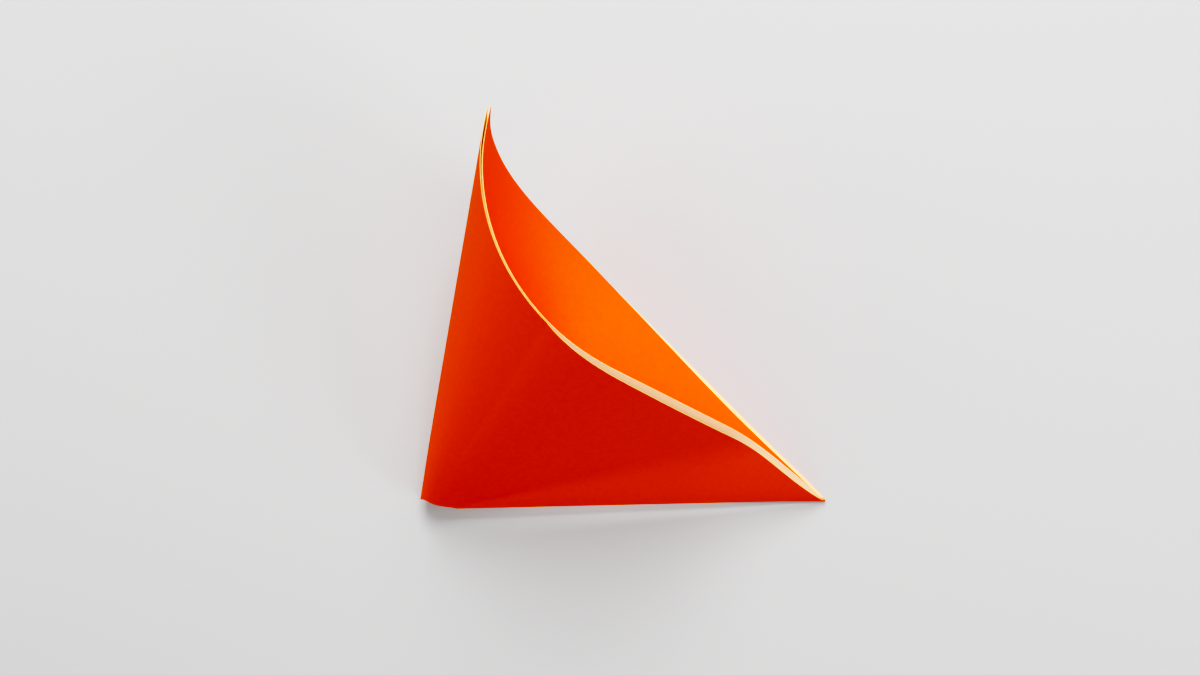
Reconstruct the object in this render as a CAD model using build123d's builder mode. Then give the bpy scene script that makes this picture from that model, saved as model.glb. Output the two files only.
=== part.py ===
"""A square of paper folded in half along its diagonal, then bent loosely in half again, tip over tip."""
from build123d import *
from math import cos, pi, radians, sin, sqrt, tan
import os

# Driving sizes of the sheet, in millimetres
sheet_side = 150.0
paper_thickness = 0.1

# Clear width between the two layers, at the crease and at the widest part of the front leaf's mouth
crease_gap = 0.2
mouth_gap = 2.5

# Distance from the apex, along the front leaf's raw edge, at which the mouth begins to open
mouth_start = 52.0

# Depth below the crease of the points where the straight lines of the two bends meet
bend_focus_depth = 7.6
reverse_focus_depth = 0.8

# The dent where the loose bend crushes the crease inwards: its depth, its place and its reach each way
crease_dent = 2.9
dent_offset = 2.5
dent_back_reach = 4.5
dent_front_reach = 9.0

# Air between the front tip and the back leaf, and the length that each tip's blunt end takes off the crease
tip_clearance = 0.2
tip_land = 0.3

# Driving angles, in degrees: the crease runs this far off the true diagonal
crease_skew = 0.35

# Directions of the straight lines where the bends begin and end, from the crease's normal to its right
bend_start = 43.0
bend_end = -42.3
reverse_start = -67.8
reverse_end = -78.9
reverse_turn = 17.9

# How the loose bend tightens towards its front, how late it fades there, and how round the mouth's ends are
bend_lean_share = 3.24
bend_fade_power = 4
mouth_round_power = 0.6

# Straight lines drawn in each stretch, and the limits and halvings of the search for the loose bend's turn
bend_steps = 48
front_steps = 3
reverse_steps = 6
least_turn = 150.0
most_turn = 260.0
search_halvings = 30

# Sizes that follow: half the fold's height, the edge's distance from the middle, and the crease's end on it
fold_height = paper_thickness + crease_gap / 2
edge_distance = sheet_side / 2
crease_end = edge_distance / cos(radians(45 - crease_skew))
mouth_length = sheet_side - mouth_start


def heading(angle):
    """Direction in the flat sheet of a straight line at an angle from the crease's normal."""
    return Vector(sin(radians(angle)), cos(radians(angle)), 0)


def reach(foot, angle, skew):
    """Length of a line from its foot on the crease to the raw edge of a layer turned by the skew."""
    lengths = []
    for edge_angle in (45 + skew, 135 + skew):
        normal = Vector(cos(radians(edge_angle)), sin(radians(edge_angle)), 0)
        approach = heading(angle).dot(normal)
        if approach > 0:
            lengths.append((edge_distance - foot * normal.X) / approach)
    return min(lengths)


def loose_share(place):
    """Share of the loose bend's turn that is behind a place along it, from its back to its front."""

    def gathered(end):
        power = bend_fade_power
        growth = end - end ** (power + 1) / (power + 1)
        lean = end**2 / 2 - end ** (power + 2) / (power + 2)
        return growth + bend_lean_share * lean

    return gathered(place) / gathered(1)


def gentle_share(place):
    """Share of the reverse bend's turn that is behind a place along it."""
    return (1 - cos(pi * place)) / 2


def turn_shares(steps, share_behind):
    """Share of a bend's turn at each of its lines, gathered halfway to the lines beside it."""
    halfway = [0] + [(step + 1 / 2) / steps for step in range(steps)] + [1]
    return [share_behind(after) - share_behind(before) for before, after in zip(halfway, halfway[1:])]


def mouth_share(foot, angle):
    """How open the mouth is at the raw end of a line, from 0 where the layers meet to 1 at its widest."""
    raw_end = Vector(foot, 0, 0) + heading(angle) * reach(foot, angle, crease_skew)
    apex = heading(-crease_skew) * sheet_side / sqrt(2)
    place = ((raw_end - apex).length - mouth_start) / mouth_length
    if angle > 0 or not 0 < place < 1:
        return 0
    return sin(pi * place) ** mouth_round_power


def dent(foot):
    """How far the crease is pushed in at a foot on it."""
    offset = foot + dent_offset
    side_reach = dent_back_reach if offset > 0 else dent_front_reach
    return crease_dent * gentle_share(max(0, 1 - abs(offset) / side_reach))


def between(start, end, steps):
    """Evenly spaced values from start to end."""
    return [start + (end - start) * step / steps for step in range(steps + 1)]


def flat_lines(bend_turn):
    """Each straight line of the flat sheet: its foot on the crease, its angle and its turn."""
    lines = [(crease_end - tip_land, bend_start, 0)]
    shares = turn_shares(bend_steps, loose_share)
    for angle, share in zip(between(bend_start, bend_end, bend_steps), shares):
        lines.append((bend_focus_depth * tan(radians(angle)), angle, bend_turn * share))
    focus = lines[-1][0] * (1 - reverse_focus_depth / bend_focus_depth)
    for angle in between(bend_end, reverse_start, front_steps)[1:-1]:
        lines.append((focus + reverse_focus_depth * tan(radians(angle)), angle, 0))
    shares = turn_shares(reverse_steps, gentle_share)
    for angle, share in zip(between(reverse_start, reverse_end, reverse_steps), shares):
        lines.append((focus + reverse_focus_depth * tan(radians(angle)), angle, -reverse_turn * share))
    lines.append((tip_land - crease_end, -bend_start, 0))
    return lines


def turned(foot, angle, turn):
    """A turn about one straight line of the flat sheet."""
    line = Location(Plane((foot, 0, 0), x_dir=heading(angle), z_dir=(0, 0, 1)))
    return line * Location((0, 0, 0), (turn, 0, 0)) * line.inverse()


def bent(bend_turn):
    """The place of the sheet at each of its lines once it is bent, halfway through that line's turn."""
    place = Location((0, 0, fold_height))
    places = []
    for foot, angle, turn in flat_lines(bend_turn):
        places.append(place * turned(foot, angle, turn / 2))
        place = place * turned(foot, angle, turn)
    return places


def landing_height(bend_turn):
    """Height of the front tip's crease over the back leaf's."""
    front_tip = bent(bend_turn)[-1] * Location((-crease_end, 0, 0))
    return front_tip.position.Z - fold_height


def landing_turn():
    """The loose bend's turn that lays the front tip on the back leaf."""
    low, high = least_turn, most_turn
    for _ in range(search_halvings):
        middle = (low + high) / 2
        if landing_height(middle) > 2 * fold_height + tip_clearance:
            low = middle
        else:
            high = middle
    return low


def section_plane(place, foot, angle):
    """The plane across both layers along a line, with x along it and y towards the inside of the bend."""
    direction = heading(angle)
    across = Vector(direction.Y, -direction.X, 0)
    return Plane(place * Location(Plane((foot, 0, 0), x_dir=direction, z_dir=across)))


def fold_section(place, foot, angle, turn):
    """The two layers and their pressed crease, cut along one line and mitred for its turn."""
    inner_reach = reach(foot, angle, -crease_skew)
    outer_reach = reach(foot, angle, crease_skew)
    mitre = 1 / cos(radians(turn / 2))
    inside = mitre * crease_gap / 2
    outside = mitre * fold_height
    stretch = 1 / cos(radians(angle))
    crease = dent(foot) * stretch
    opening = (mouth_gap - crease_gap) * mouth_share(foot, angle)
    with BuildSketch(section_plane(place, foot, angle)) as section:
        with BuildLine():
            Polyline(
                (inner_reach, outside),
                (crease, outside),
                (crease - outside * stretch, 0),
                (crease, -outside),
                (outer_reach, -outside - opening),
                (outer_reach, -inside - opening),
                (crease, -inside),
                (crease - inside * stretch, 0),
                (crease, inside),
                (inner_reach, inside),
                close=True,
            )
        make_face()
    return section.sketch.face()


bend_turn = landing_turn()
lines = zip(bent(bend_turn), flat_lines(bend_turn))
sections = [fold_section(place, *line) for place, line in lines]

with BuildPart() as paper:
    # Strips of the bent sheet from line to line, from the back tip to the front tip
    loft(sections=sections, ruled=True)

# The strips are flat where the mouth doesn't open, and become planes there
strips = [Face(face.outer_wire()) if face.is_planar else face for face in paper.faces()]

# The origin is under the middle of the folded sheet, on the surface that it lies on
middle = paper.part.bounding_box().center()
with BuildPart() as folded_sheet:
    with Locations((-middle.X, -middle.Y, 0)):
        add(Solid(Shell(strips)))

os.makedirs("parts", exist_ok=True)
folded_sheet.part.label = "folded_sheet"
export_step(folded_sheet.part, "parts/folded_sheet.step")

print("turn of the loose bend, degrees:", round(bend_turn, 3))
print("origin from the crease's middle:", round(middle.X, 3), round(middle.Y, 3))
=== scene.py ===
"""A square of red paper folded along its diagonal and bent loosely in half again, tip over tip."""
from math import cos, exp, pi, radians, sin, sqrt, tan

import bpy
import numpy as np
from mathutils import Euler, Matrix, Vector


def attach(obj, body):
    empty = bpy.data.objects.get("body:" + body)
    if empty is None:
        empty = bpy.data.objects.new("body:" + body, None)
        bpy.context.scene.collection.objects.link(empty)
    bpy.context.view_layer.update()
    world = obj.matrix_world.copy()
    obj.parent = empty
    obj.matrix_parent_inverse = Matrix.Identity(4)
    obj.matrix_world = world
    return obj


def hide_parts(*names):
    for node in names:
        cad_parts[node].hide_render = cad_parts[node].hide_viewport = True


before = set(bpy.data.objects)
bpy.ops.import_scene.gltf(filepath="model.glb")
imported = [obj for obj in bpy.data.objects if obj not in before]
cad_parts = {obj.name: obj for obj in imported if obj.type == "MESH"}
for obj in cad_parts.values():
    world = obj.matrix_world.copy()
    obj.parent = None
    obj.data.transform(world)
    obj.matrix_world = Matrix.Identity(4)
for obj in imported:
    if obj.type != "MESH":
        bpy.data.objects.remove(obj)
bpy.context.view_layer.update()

# One millimetre, for a script whose sizes are in millimetres and whose scene is in metres
mm = 0.001

# Sizes of the sheet and its two folds, as the solid has them
sheet_side = 150.0
paper_thickness = 0.1
crease_gap = 0.2
mouth_start = 52.0
bend_focus_depth = 7.6
reverse_focus_depth = 0.8
tip_clearance = 0.2

# Angles of the folds in degrees, as the solid has them
bend_start = 43.0
bend_end = -42.3
reverse_start = -67.8
reverse_end = -78.9
reverse_turn = 17.9

# How the loose bend tightens towards its front and fades there, and how round the mouth's ends are
bend_lean_share = 3.24
bend_fade_power = 4
mouth_round_power = 0.6

# Where the origin lies from the crease's middle, as the solid has it
origin = (53.793, 45.26)

# Directions that the two raw edges of a layer face, in degrees from the crease
edge_angles = (45, 135)

# Clear width of the front leaf's mouth at its widest, a little more than the solid's
mouth_gap = 2.6

# The dent where the loose bend crushes the crease: its depth, its two ends and the lengths of its two slopes
crease_dent = 3.4
dent_back_end = 3.2
dent_back_length = 7.4
dent_front_end = -14.5
dent_front_length = 12.0

# How far the outer layer springs off the inner one beside the crease, over what distance and how soon
spring_gap = 0.22
spring_reach = 12.0
spring_growth = 4

# How unevenly the raw edges lie: layer, leaf, how far out, how far from the apex and over what length
edge_waves = (
    ("inner", "back", 0.3, 14.0, 10.0),
    ("inner", "back", 0.25, 58.0, 15.0),
    ("inner", "back", -0.86, 116.0, 28.0),
    ("outer", "back", 0.3, 142.0, 10.0),
    ("inner", "front", -0.25, 45.0, 30.0),
    ("inner", "front", 0.4, 128.0, 10.0),
    ("inner", "front", -0.5, 149.0, 5.0),
    ("outer", "front", -0.25, 45.0, 30.0),
    ("outer", "front", -0.9, 143.0, 14.0),
)

# What is left of the crease at each tip's point
tip_land = 0.1

# How far each layer's corner stands out at the apex, and over what length
inner_pull = np.array((0.5, 1.5, 0.0))
outer_pull = np.array((0.2, 0.8, 0.0))
pull_reach = 6.0

# Straight lines in each stretch of the sheet, points along each line of one layer, and round the crease
back_steps = 40
bend_steps = 140
front_steps = 24
reverse_steps = 36
tip_steps = 30
layer_steps = 44
crease_steps = 10

# Limits in degrees of the search for the loose bend's turn, and the halvings of each search
least_turn = 150.0
most_turn = 260.0
search_halvings = 40

# The three kinds of surface, in the order of their materials
coloured_face = 0
white_face = 1
cut_edge = 2

# The paper's fibres: how many to the metre, how finely they branch, and the depth of the tooth they make
fibre_scale = 900
fibre_detail = 4
tooth_depth = 0.05

# How far through the fibres' noise a face has its darker and its lighter colour
mottle_shares = (0.3, 0.7)

# The dyed face: its darker and lighter colour, its roughness, its gloss and the strength of its tooth
dye_colours = ((0.785, 0.108, 0.005), (0.815, 0.116, 0.007))
dye_roughness = 0.6
dye_gloss = 0.03
dye_tooth = 0.015

# The bare reverse: its colour in the open mouth and between pressed layers, each a white painted warm for
# the light that comes through the dyed face and a deeper tint between pressed layers, then its roughness and
# its tooth
bare_and_painted_light_colours = ((0.88, 0.65, 0.46), (0.88, 0.54, 0.26))
bare_roughness = 0.9
bare_tooth = 0.03

# How fast the mouth's opening takes away the pressed layers' colour, the deeper painted light of light
# coming through them
painted_light_fall = 3

# Painted light: a faint glow on the bare side, standing in for the light that comes through the paper
painted_glow_colour = (1.0, 0.62, 0.3, 1)
painted_glow_strength = 0.05

# The cut edge: its darker and lighter colour, its roughness and its tooth
cut_colours = ((0.82, 0.42, 0.14), (0.86, 0.50, 0.20))
cut_roughness = 0.95
cut_tooth = 0.03

# The floor: half its width in metres, its grey, its roughness and its faint glow
floor_half = 3.0
floor_colour = (0.36, 0.36, 0.36, 1)
floor_roughness = 0.9
floor_glow = 0.1

# The soft lights: name, place and width in metres, and power in watts, with the strength of the room's light
white = (1.0, 1.0, 1.0, 1)
soft_lights = (
    ("key", (0.01, 0.80, 0.76), 0.7, 26.5),
    ("top", (0.22, 0.13, 0.97), 0.5, 2.1),
    ("side", (0.73, -0.42, 0.31), 0.45, 4.3),
    ("left", (-0.80, 0.05, 0.60), 0.5, 1.7),
)
room_strength = 0.17

# The camera, almost straight above: what it aims at, its distance, its turn and the nearest that it sees
aim = (-5.973, -3.344, 0.2)
camera_distance = 318.794
camera_turn = (-0.012, 0.0355, 0.0025)
camera_nearest = 10.0

# The camera's lens, as its focal length and the picture's width in pixels, and the width of its sensor
focal_pixels = 1231.0
picture_pixels = 1200
sensor_width = 36.0

# The response of the camera: deep shades, and highlights that never quite clip
dark_level = 0.080
light_level = 1.6
response = ((0.026, 0.027), (0.09, 0.165), (0.35, 0.578), (0.6, 0.83), (1.0, 0.975))

# Sizes that follow
fold_height = paper_thickness + crease_gap / 2
edge_distance = sheet_side / 2
crease_end = sheet_side / sqrt(2)
apex = np.array((0, crease_end))
mouth_length = sheet_side - mouth_start


def heading(angle):
    """Direction in the flat sheet of a straight line at an angle from the crease's normal."""
    return np.array((sin(radians(angle)), cos(radians(angle))))


def raw_end(foot, angle):
    """Flat place where a line from its foot on the crease meets the raw edge."""
    lengths = []
    for edge_angle in edge_angles:
        normal = np.array((cos(radians(edge_angle)), sin(radians(edge_angle))))
        approach = heading(angle) @ normal
        if approach > 0:
            lengths.append((edge_distance - foot * normal[0]) / approach)
    return np.array((foot, 0)) + min(lengths) * heading(angle)


def loose_share(place):
    """Share of the loose bend's turn that is behind a place along it."""

    def gathered(end):
        power = bend_fade_power
        growth = end - end ** (power + 1) / (power + 1)
        lean = end**2 / 2 - end ** (power + 2) / (power + 2)
        return growth + bend_lean_share * lean

    return gathered(place) / gathered(1)


def gentle_share(place):
    """Share of a gentle change that is behind a place along it."""
    return (1 - cos(pi * place)) / 2


def turn_shares(steps, share_behind):
    """Share of a bend's turn at each of its lines, gathered halfway to the lines beside it."""
    halfway = [0] + [(step + 1 / 2) / steps for step in range(steps)] + [1]
    return [share_behind(after) - share_behind(before) for before, after in zip(halfway, halfway[1:])]


def mouth_share(line):
    """How open the mouth is at a line's outer raw end, from 0 where the layers meet to 1 at its widest."""
    place = (np.linalg.norm(line["raw_end"] - apex) - mouth_start) / mouth_length
    if line["angle"] > 0 or not 0 < place < 1:
        return 0
    return sin(pi * place) ** mouth_round_power


def layer_reach(line, layer):
    """Length of a line along one layer, from the crease to that layer's raw edge."""
    reach = np.linalg.norm(line["raw_end"] - line["start"])
    run = np.linalg.norm(line["raw_end"] - apex)
    leaf = "back" if line["angle"] > 0 else "front"
    for wave_layer, wave_leaf, amount, middle, length in edge_waves:
        if (wave_layer, wave_leaf) == (layer, leaf):
            reach += amount * exp(-(((run - middle) / length) ** 2))
    return max(reach, tip_land)


def dent(place):
    """How far the crease is pushed in at a place along it."""
    back_share = gentle_share(min(1, max(0, (dent_back_end - place) / dent_back_length)))
    front_share = gentle_share(min(1, max(0, (place - dent_front_end) / dent_front_length)))
    return crease_dent * back_share * front_share


def dented_start(foot, angle):
    """Flat place where a line from its foot meets the dented crease."""
    low, high = 0, crease_dent
    for _ in range(search_halvings):
        middle = (low + high) / 2
        if middle < dent(foot + middle * tan(radians(angle))):
            low = middle
        else:
            high = middle
    return np.array((foot + low * tan(radians(angle)), low))


def flat_line(foot, angle, turn, spring_share):
    """One straight line of the flat sheet, from its start at the crease to the raw edge."""
    return {
        "foot": np.array((foot, 0.0)),
        "start": dented_start(foot, angle),
        "angle": angle,
        "turn": turn,
        "raw_end": raw_end(foot, angle),
        "spring_share": spring_share,
    }


def across(first, last, steps):
    """The lines of a flat stretch between two lines, both of which are left out."""
    lines = []
    for step in range(1, steps):
        line = {}
        for key in first:
            line[key] = first[key] + (last[key] - first[key]) * step / steps
        line["turn"] = 0
        lines.append(line)
    return lines


def flat_lines(bend_turn):
    """Every straight line of the flat sheet, from the back tip to the front tip."""
    first = flat_line(crease_end - tip_land, bend_start, 0, 0)
    bend = []
    shares = turn_shares(bend_steps, loose_share)
    for step, angle in enumerate(np.linspace(bend_start, bend_end, bend_steps + 1)):
        foot = bend_focus_depth * tan(radians(angle))
        spring_share = gentle_share(min(1, spring_growth * step / bend_steps))
        bend.append(flat_line(foot, angle, bend_turn * shares[step], spring_share))
    focus = bend[-1]["foot"][0] * (1 - reverse_focus_depth / bend_focus_depth)
    front = []
    for angle in np.linspace(bend_end, reverse_start, front_steps + 1)[1:-1]:
        front.append(flat_line(focus + reverse_focus_depth * tan(radians(angle)), angle, 0, 1))
    reverse = []
    shares = turn_shares(reverse_steps, gentle_share)
    for step, angle in enumerate(np.linspace(reverse_start, reverse_end, reverse_steps + 1)):
        foot = focus + reverse_focus_depth * tan(radians(angle))
        reverse.append(flat_line(foot, angle, -reverse_turn * shares[step], 1))
    last = flat_line(tip_land - crease_end, -bend_start, 0, 0)
    back = across(first, bend[0], back_steps)
    tip = across(reverse[-1], last, tip_steps)
    return [first] + back + bend + front + reverse + tip + [last]


def turned(foot, angle, turn):
    """A turn about one straight line of the flat sheet, as a four by four matrix."""
    axis = np.append(heading(angle), 0)
    cross = np.array(((0, 0, axis[1]), (0, 0, -axis[0]), (-axis[1], axis[0], 0)))
    turn = radians(turn)
    matrix = np.eye(4)
    matrix[:3, :3] += sin(turn) * cross + (1 - cos(turn)) * cross @ cross
    start = np.append(foot, 0)
    matrix[:3, 3] = start - matrix[:3, :3] @ start
    return matrix


def bent(lines):
    """The place of the sheet at each of its lines once it is bent, halfway through that line's turn."""
    place = np.eye(4)
    place[2, 3] = fold_height
    places = []
    for line in lines:
        if line["turn"] == 0:
            places.append(place)
            continue
        places.append(place @ turned(line["foot"], line["angle"], line["turn"] / 2))
        place = place @ turned(line["foot"], line["angle"], line["turn"])
    return places


def landing_height(bend_turn):
    """Height of the front tip's crease over the back leaf's."""
    front_tip = bent(flat_lines(bend_turn))[-1] @ np.array((-crease_end, 0, 0, 1))
    return front_tip[2] - fold_height


def landing_turn():
    """The loose bend's turn that lays the front tip on the back leaf."""
    low, high = least_turn, most_turn
    for _ in range(search_halvings):
        middle = (low + high) / 2
        if landing_height(middle) > 2 * fold_height + tip_clearance:
            low = middle
        else:
            high = middle
    return low


def outer_lift(line, distance, reach):
    """How far the outer layer stands off its place in a pressed fold, at a distance from the crease."""
    spring = spring_gap * (1 - exp(-((distance / spring_reach) ** 2))) * line["spring_share"]
    return spring + (mouth_gap - crease_gap) * mouth_share(line) * distance / reach


def section(line):
    """Flat places and heights of both faces along a line, from the inner raw edge round to the outer one."""
    shares = [gentle_share(step / layer_steps) for step in range(1, layer_steps + 1)]
    along = line["raw_end"] - line["start"]
    along = along / np.linalg.norm(along)
    inner_reach = layer_reach(line, "inner")
    outer_reach = layer_reach(line, "outer")
    faces = []
    for height in (fold_height, crease_gap / 2):
        for share in reversed(shares):
            place = line["start"] + along * inner_reach * share
            faces.append((*place, height))
        for step in range(crease_steps + 1):
            angle = pi * step / crease_steps
            place = line["start"] - along / along[1] * height * sin(angle)
            faces.append((*place, height * cos(angle)))
        for share in shares:
            place = line["start"] + along * outer_reach * share
            faces.append((*place, -height - outer_lift(line, outer_reach * share, outer_reach)))
    return np.array(faces)


def bent_points(lines):
    """Points of both faces along every line of the bent sheet, in millimetres."""
    points = []
    for line, place in zip(lines, bent(lines)):
        ring = section(line)
        pull = np.where(ring[:, 2:] > 0, inner_pull, outer_pull)
        distance = np.linalg.norm(ring[:, :2] - apex, axis=1)
        pull_share = np.exp(-((distance / pull_reach) ** 2))[:, np.newaxis]
        points.append(ring @ place[:3, :3].T + place[:3, 3] + pull * pull_share)
    points = np.array(points)
    points[..., :2] -= origin
    return points


def sheet_mesh():
    """The folded sheet as one closed thin mesh, with its coloured face, its white face and its cut edges."""
    lines = flat_lines(landing_turn())
    points = bent_points(lines)
    count = 2 * layer_steps + crease_steps + 1
    quads = []
    kinds = []

    def index(row, face, point):
        return (2 * row + face) * count + point

    def quad(kind, *corners):
        quads.append([index(*corner) for corner in corners])
        kinds.append(kind)

    end = len(lines) - 1
    last = count - 1
    for row in range(end):
        after = row + 1
        for point in range(last):
            beside = point + 1
            quad(coloured_face, (row, 0, point), (row, 0, beside), (after, 0, beside), (after, 0, point))
            quad(white_face, (row, 1, point), (after, 1, point), (after, 1, beside), (row, 1, beside))
        quad(cut_edge, (row, 0, 0), (after, 0, 0), (after, 1, 0), (row, 1, 0))
        quad(cut_edge, (row, 0, last), (row, 1, last), (after, 1, last), (after, 0, last))
    for point in range(last):
        beside = point + 1
        quad(cut_edge, (0, 0, point), (0, 1, point), (0, 1, beside), (0, 0, beside))
        quad(cut_edge, (end, 0, point), (end, 0, beside), (end, 1, beside), (end, 1, point))

    mesh = bpy.data.meshes.new("folded_paper")
    mesh.from_pydata((points.reshape(-1, 3) * mm).tolist(), [], quads)
    mesh.polygons.foreach_set("material_index", kinds)
    mesh.polygons.foreach_set("use_smooth", [kind != cut_edge for kind in kinds])
    # Painted light: how far the bare side takes the deeper tint of light coming through where the layers
    # press together
    painted_light_shares = [max(0, 1 - painted_light_fall * mouth_share(line)) for line in lines]
    pressed = mesh.attributes.new("pressed", "FLOAT", "POINT")
    pressed.data.foreach_set("value", np.repeat(painted_light_shares, 2 * count))
    mesh.update()
    return mesh


def new_material(name):
    """A material, with its nodes, its links and its shader."""
    material = bpy.data.materials.new(name)
    material.use_nodes = True
    nodes = material.node_tree.nodes
    shader = nodes["Principled BSDF"]
    return material, nodes, material.node_tree.links, shader


def add_tooth(nodes, links, shader, strength):
    """Fine tooth on a face of the paper, from noise that is given back."""
    place = nodes.new("ShaderNodeTexCoord")
    fibres = nodes.new("ShaderNodeTexNoise")
    fibres.inputs["Scale"].default_value = fibre_scale
    fibres.inputs["Detail"].default_value = fibre_detail
    bump = nodes.new("ShaderNodeBump")
    bump.inputs["Strength"].default_value = strength
    bump.inputs["Distance"].default_value = tooth_depth * mm
    links.new(place.outputs["Object"], fibres.inputs["Vector"])
    links.new(fibres.outputs["Fac"], bump.inputs["Height"])
    links.new(bump.outputs["Normal"], shader.inputs["Normal"])
    return fibres


def add_colours(nodes, links, shader, source, shares, colours):
    """Base colour that goes from one colour to another between two shares of a source."""
    ramp = nodes.new("ShaderNodeValToRGB")
    for element, share, colour in zip(ramp.color_ramp.elements, shares, colours):
        element.position = share
        element.color = (*colour, 1)
    links.new(source.outputs["Fac"], ramp.inputs["Fac"])
    links.new(ramp.outputs["Color"], shader.inputs["Base Color"])


def coloured_paper():
    """Smooth dyed face: deep vermilion with a faint mottle and a fine tooth."""
    material, nodes, links, shader = new_material("coloured_paper")
    shader.inputs["Roughness"].default_value = dye_roughness
    shader.inputs["Specular IOR Level"].default_value = dye_gloss
    fibres = add_tooth(nodes, links, shader, dye_tooth)
    add_colours(nodes, links, shader, fibres, mottle_shares, dye_colours)
    return material


def white_paper():
    """The bare reverse: a white painted warm for light that comes through the dyed face, painted yellower
    where the layers press together, with a faint painted glow.
    """
    material, nodes, links, shader = new_material("white_paper")
    shader.inputs["Roughness"].default_value = bare_roughness
    # Painted light: the bare side glows faintly, for the light that comes through the dyed face
    shader.inputs["Emission Color"].default_value = painted_glow_colour
    shader.inputs["Emission Strength"].default_value = painted_glow_strength
    add_tooth(nodes, links, shader, bare_tooth)
    # Painted light: the bare side's colour goes to the deeper painted tint where the layers press together
    pressed = nodes.new("ShaderNodeAttribute")
    pressed.attribute_name = "pressed"
    add_colours(nodes, links, shader, pressed, (0, 1), bare_and_painted_light_colours)
    return material


def cut_paper():
    """The cut edge: cream, with the dye of the coloured face bleeding in along its fibres."""
    material, nodes, links, shader = new_material("cut_paper")
    shader.inputs["Roughness"].default_value = cut_roughness
    fibres = add_tooth(nodes, links, shader, cut_tooth)
    add_colours(nodes, links, shader, fibres, mottle_shares, cut_colours)
    return material


def folded_paper():
    """The folded sheet with its three kinds of surface."""
    mesh = sheet_mesh()
    for material in (coloured_paper(), white_paper(), cut_paper()):
        mesh.materials.append(material)
    paper = bpy.data.objects.new("folded_paper", mesh)
    bpy.context.collection.objects.link(paper)
    return paper


def pale_floor():
    """The flat floor that the sheet lies on."""
    mesh = bpy.data.meshes.new("floor")
    corners = [
        (-floor_half, -floor_half, 0),
        (floor_half, -floor_half, 0),
        (floor_half, floor_half, 0),
        (-floor_half, floor_half, 0),
    ]
    mesh.from_pydata(corners, [], [(0, 1, 2, 3)])
    material, _, _, shader = new_material("floor")
    shader.inputs["Base Color"].default_value = floor_colour
    shader.inputs["Emission Color"].default_value = white
    shader.inputs["Emission Strength"].default_value = floor_glow
    shader.inputs["Roughness"].default_value = floor_roughness
    mesh.materials.append(material)
    floor = bpy.data.objects.new("floor", mesh)
    bpy.context.collection.objects.link(floor)
    return floor


def soft_light(name, place, width, power):
    """A square soft light that faces the sheet."""
    lamp = bpy.data.lights.new(name, "AREA")
    lamp.size = width
    lamp.energy = power
    light = bpy.data.objects.new(name, lamp)
    light.location = place
    light.rotation_euler = Vector(place).to_track_quat("Z", "Y").to_euler()
    bpy.context.collection.objects.link(light)


# The folded sheet
paper = folded_paper()
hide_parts("folded_sheet")
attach(paper, "root")

# The floor
floor = pale_floor()

# The lights
for light in soft_lights:
    soft_light(*light)
room = bpy.data.worlds.new("studio")
room.use_nodes = True
room.node_tree.nodes["Background"].inputs["Color"].default_value = white
room.node_tree.nodes["Background"].inputs["Strength"].default_value = room_strength
bpy.context.scene.world = room

# The camera
camera_data = bpy.data.cameras.new("camera")
camera_data.sensor_width = sensor_width
camera_data.lens = focal_pixels * sensor_width / picture_pixels
camera_data.clip_start = camera_nearest * mm
camera = bpy.data.objects.new("camera", camera_data)
camera.rotation_euler = Euler(camera_turn)
camera.location = Vector(aim) * mm + Euler(camera_turn).to_matrix() @ Vector((0, 0, camera_distance * mm))
bpy.context.collection.objects.link(camera)
bpy.context.scene.camera = camera

# The camera's response, on the curve that all three colours share
view = bpy.context.scene.view_settings
view.view_transform = "Standard"
view.use_curve_mapping = True
curves = view.curve_mapping
curves.black_level = (dark_level, dark_level, dark_level)
curves.white_level = (light_level, light_level, light_level)
curve = curves.curves[3]
curve.points[1].location = response[-1]
for point in response[:-1]:
    curve.points.new(*point)
curves.update()
